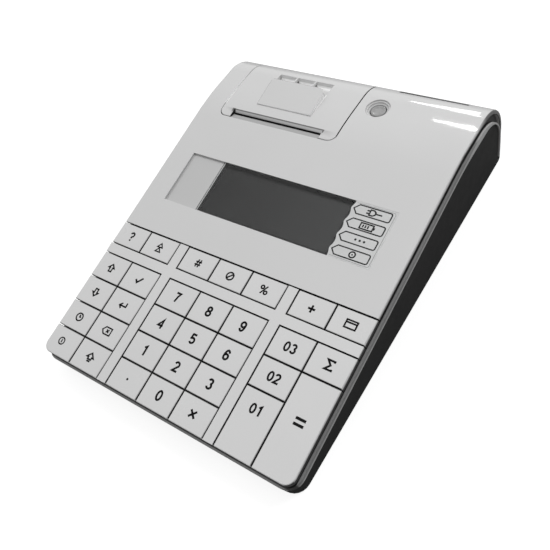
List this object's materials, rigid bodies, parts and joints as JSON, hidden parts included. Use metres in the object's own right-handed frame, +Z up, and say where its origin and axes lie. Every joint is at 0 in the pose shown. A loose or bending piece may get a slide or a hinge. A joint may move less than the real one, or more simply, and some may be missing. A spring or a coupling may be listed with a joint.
{
  "type": "ticket register",
  "caption": "Portable cash register: sloping keypad, flush display window, slotted paper lid with a thumb grip, and a customer display in the round rear shoulder.",
  "frame": {"origin": "on the ground under the middle of the body", "axes": "+X to the cashier's right, +Y from the keypad towards the rear, +Z up"},
  "size_m": [0.1584, 0.2136, 0.0479],
  "materials": {
    "white_plastic": "pale grey-white moulded plastic, smooth satin gloss",
    "band_plastic": "mid-grey moulded plastic, satin",
    "dark_plastic": "charcoal moulded plastic, fine texture",
    "frame_plastic": "black moulded plastic, matte",
    "clear_plastic": "clear display lens, printed dark at its back",
    "display_glass": "dark grey liquid crystal display",
    "dark_glass": "smoked lens",
    "rubber": "black rubber, matte",
    "grey_rubber": "grey silicone rubber",
    "board_laminate": "green printed board",
    "steel": "turned steel",
    "aluminium": "plain aluminium",
    "gear_plastic": "natural acetal",
    "paper": "white thermal paper",
    "battery_wrap": "blue shrink wrap",
    "socket_plastic": "black socket plastic",
    "seal_plastic": "grey plug"
  },
  "bodies": {
    "base": {"bottom_housing": "dark_plastic", "side_band": "band_plastic", "top_cover": "white_plastic", "key_frame": "white_plastic", "key_mat": "grey_rubber", "keypad_board": "board_laminate", "display_window": "clear_plastic", "display_module": "display_glass", "customer_window": "dark_glass", "customer_display": "display_glass", "lid_hinge_pin": "steel", "stepper_motor": "aluminium", "printer_frame": "frame_plastic", "thermal_head": "aluminium", "seal_plug": "seal_plastic", "main_board": "board_laminate", "rear_sockets": "socket_plastic", "battery_pack": "battery_wrap", "front_foot": "rubber", "rear_foot": "rubber"},
    "key_power": {"key_power": "white_plastic"},
    "key_shift": {"key_shift": "white_plastic"},
    "key_clock": {"key_clock": "white_plastic"},
    "key_clear": {"key_clear": "white_plastic"},
    "key_down": {"key_down": "white_plastic"},
    "key_back": {"key_back": "white_plastic"},
    "key_up": {"key_up": "white_plastic"},
    "key_enter": {"key_enter": "white_plastic"},
    "key_help": {"key_help": "white_plastic"},
    "key_feed": {"key_feed": "white_plastic"},
    "key_point": {"key_point": "white_plastic"},
    "key_0": {"key_0": "white_plastic"},
    "key_quantity": {"key_quantity": "white_plastic"},
    "key_1": {"key_1": "white_plastic"},
    "key_2": {"key_2": "white_plastic"},
    "key_3": {"key_3": "white_plastic"},
    "key_4": {"key_4": "white_plastic"},
    "key_5": {"key_5": "white_plastic"},
    "key_6": {"key_6": "white_plastic"},
    "key_7": {"key_7": "white_plastic"},
    "key_8": {"key_8": "white_plastic"},
    "key_9": {"key_9": "white_plastic"},
    "key_item": {"key_item": "white_plastic"},
    "key_void": {"key_void": "white_plastic"},
    "key_percent": {"key_percent": "white_plastic"},
    "key_group_1": {"key_group_1": "white_plastic"},
    "key_group_2": {"key_group_2": "white_plastic"},
    "key_group_3": {"key_group_3": "white_plastic"},
    "key_total": {"key_total": "white_plastic"},
    "key_subtotal": {"key_subtotal": "white_plastic"},
    "key_markup": {"key_markup": "white_plastic"},
    "key_payment": {"key_payment": "white_plastic"},
    "lid": {"paper_lid": "white_plastic"},
    "platen": {"platen_shaft": "steel", "platen_roller": "rubber", "platen_gear": "gear_plastic"},
    "idler": {"idler_gear": "gear_plastic"},
    "pinion": {"motor_pinion": "steel"},
    "roll": {"paper_roll": "paper"},
    "door": {"battery_door": "dark_plastic"}
  },
  "joints": [
    {"name": "key_power_press", "type": "slide", "parent": "base", "child": "key_power", "axis": [0, 0.1599, -0.9871], "range_m": [0, 0.0012], "stiffness_N_per_m": 300},
    {"name": "key_shift_press", "type": "slide", "parent": "base", "child": "key_shift", "axis": [0, 0.1599, -0.9871], "range_m": [0, 0.0012], "stiffness_N_per_m": 300},
    {"name": "key_clock_press", "type": "slide", "parent": "base", "child": "key_clock", "axis": [0, 0.1599, -0.9871], "range_m": [0, 0.0012], "stiffness_N_per_m": 300},
    {"name": "key_clear_press", "type": "slide", "parent": "base", "child": "key_clear", "axis": [0, 0.1599, -0.9871], "range_m": [0, 0.0012], "stiffness_N_per_m": 300},
    {"name": "key_down_press", "type": "slide", "parent": "base", "child": "key_down", "axis": [0, 0.1599, -0.9871], "range_m": [0, 0.0012], "stiffness_N_per_m": 300},
    {"name": "key_back_press", "type": "slide", "parent": "base", "child": "key_back", "axis": [0, 0.1599, -0.9871], "range_m": [0, 0.0012], "stiffness_N_per_m": 300},
    {"name": "key_up_press", "type": "slide", "parent": "base", "child": "key_up", "axis": [0, 0.1599, -0.9871], "range_m": [0, 0.0012], "stiffness_N_per_m": 300},
    {"name": "key_enter_press", "type": "slide", "parent": "base", "child": "key_enter", "axis": [0, 0.1599, -0.9871], "range_m": [0, 0.0012], "stiffness_N_per_m": 300},
    {"name": "key_help_press", "type": "slide", "parent": "base", "child": "key_help", "axis": [0, 0.1599, -0.9871], "range_m": [0, 0.0012], "stiffness_N_per_m": 300},
    {"name": "key_feed_press", "type": "slide", "parent": "base", "child": "key_feed", "axis": [0, 0.1599, -0.9871], "range_m": [0, 0.0012], "stiffness_N_per_m": 300},
    {"name": "key_point_press", "type": "slide", "parent": "base", "child": "key_point", "axis": [0, 0.1599, -0.9871], "range_m": [0, 0.0012], "stiffness_N_per_m": 300},
    {"name": "key_0_press", "type": "slide", "parent": "base", "child": "key_0", "axis": [0, 0.1599, -0.9871], "range_m": [0, 0.0012], "stiffness_N_per_m": 300},
    {"name": "key_quantity_press", "type": "slide", "parent": "base", "child": "key_quantity", "axis": [0, 0.1599, -0.9871], "range_m": [0, 0.0012], "stiffness_N_per_m": 300},
    {"name": "key_1_press", "type": "slide", "parent": "base", "child": "key_1", "axis": [0, 0.1599, -0.9871], "range_m": [0, 0.0012], "stiffness_N_per_m": 300},
    {"name": "key_2_press", "type": "slide", "parent": "base", "child": "key_2", "axis": [0, 0.1599, -0.9871], "range_m": [0, 0.0012], "stiffness_N_per_m": 300},
    {"name": "key_3_press", "type": "slide", "parent": "base", "child": "key_3", "axis": [0, 0.1599, -0.9871], "range_m": [0, 0.0012], "stiffness_N_per_m": 300},
    {"name": "key_4_press", "type": "slide", "parent": "base", "child": "key_4", "axis": [0, 0.1599, -0.9871], "range_m": [0, 0.0012], "stiffness_N_per_m": 300},
    {"name": "key_5_press", "type": "slide", "parent": "base", "child": "key_5", "axis": [0, 0.1599, -0.9871], "range_m": [0, 0.0012], "stiffness_N_per_m": 300},
    {"name": "key_6_press", "type": "slide", "parent": "base", "child": "key_6", "axis": [0, 0.1599, -0.9871], "range_m": [0, 0.0012], "stiffness_N_per_m": 300},
    {"name": "key_7_press", "type": "slide", "parent": "base", "child": "key_7", "axis": [0, 0.1599, -0.9871], "range_m": [0, 0.0012], "stiffness_N_per_m": 300},
    {"name": "key_8_press", "type": "slide", "parent": "base", "child": "key_8", "axis": [0, 0.1599, -0.9871], "range_m": [0, 0.0012], "stiffness_N_per_m": 300},
    {"name": "key_9_press", "type": "slide", "parent": "base", "child": "key_9", "axis": [0, 0.1599, -0.9871], "range_m": [0, 0.0012], "stiffness_N_per_m": 300},
    {"name": "key_item_press", "type": "slide", "parent": "base", "child": "key_item", "axis": [0, 0.1599, -0.9871], "range_m": [0, 0.0012], "stiffness_N_per_m": 300},
    {"name": "key_void_press", "type": "slide", "parent": "base", "child": "key_void", "axis": [0, 0.1599, -0.9871], "range_m": [0, 0.0012], "stiffness_N_per_m": 300},
    {"name": "key_percent_press", "type": "slide", "parent": "base", "child": "key_percent", "axis": [0, 0.1599, -0.9871], "range_m": [0, 0.0012], "stiffness_N_per_m": 300},
    {"name": "key_group_1_press", "type": "slide", "parent": "base", "child": "key_group_1", "axis": [0, 0.1599, -0.9871], "range_m": [0, 0.0012], "stiffness_N_per_m": 300},
    {"name": "key_group_2_press", "type": "slide", "parent": "base", "child": "key_group_2", "axis": [0, 0.1599, -0.9871], "range_m": [0, 0.0012], "stiffness_N_per_m": 300},
    {"name": "key_group_3_press", "type": "slide", "parent": "base", "child": "key_group_3", "axis": [0, 0.1599, -0.9871], "range_m": [0, 0.0012], "stiffness_N_per_m": 300},
    {"name": "key_total_press", "type": "slide", "parent": "base", "child": "key_total", "axis": [0, 0.1599, -0.9871], "range_m": [0, 0.0012], "stiffness_N_per_m": 300},
    {"name": "key_subtotal_press", "type": "slide", "parent": "base", "child": "key_subtotal", "axis": [0, 0.1599, -0.9871], "range_m": [0, 0.0012], "stiffness_N_per_m": 300},
    {"name": "key_markup_press", "type": "slide", "parent": "base", "child": "key_markup", "axis": [0, 0.1599, -0.9871], "range_m": [0, 0.0012], "stiffness_N_per_m": 300},
    {"name": "key_payment_press", "type": "slide", "parent": "base", "child": "key_payment", "axis": [0, 0.1599, -0.9871], "range_m": [0, 0.0012], "stiffness_N_per_m": 300},
    {"name": "lid_hinge", "type": "hinge", "parent": "base", "child": "lid", "pos_m": [0, 0.10279, 0.0145], "axis": [-1, 0, 0], "range_deg": [0, 85]},
    {"name": "platen_spin", "type": "hinge", "parent": "lid", "child": "platen", "pos_m": [0, 0.06084, 0.035], "axis": [1, 0, 0], "continuous": true},
    {"name": "idler_spin", "type": "hinge", "parent": "base", "child": "idler", "pos_m": [0, 0.05535, 0.02377], "axis": [1, 0, 0], "continuous": true},
    {"name": "pinion_spin", "type": "hinge", "parent": "base", "child": "pinion", "pos_m": [0, 0.04485, 0.02377], "axis": [1, 0, 0], "continuous": true},
    {"name": "roll_spin", "type": "hinge", "parent": "base", "child": "roll", "pos_m": [0, 0.08124, 0.0201], "axis": [1, 0, 0], "continuous": true},
    {"name": "door_hinge", "type": "hinge", "parent": "base", "child": "door", "pos_m": [0, -0.01066, 0.001], "axis": [-1, 0, 0], "range_deg": [0, 60]}
  ],
  "couplings": [
    {"joint": "platen_spin", "follows": "roll_spin", "ratio": 3},
    {"joint": "idler_spin", "follows": "roll_spin", "ratio": -2},
    {"joint": "pinion_spin", "follows": "roll_spin", "ratio": 5}
  ]
}
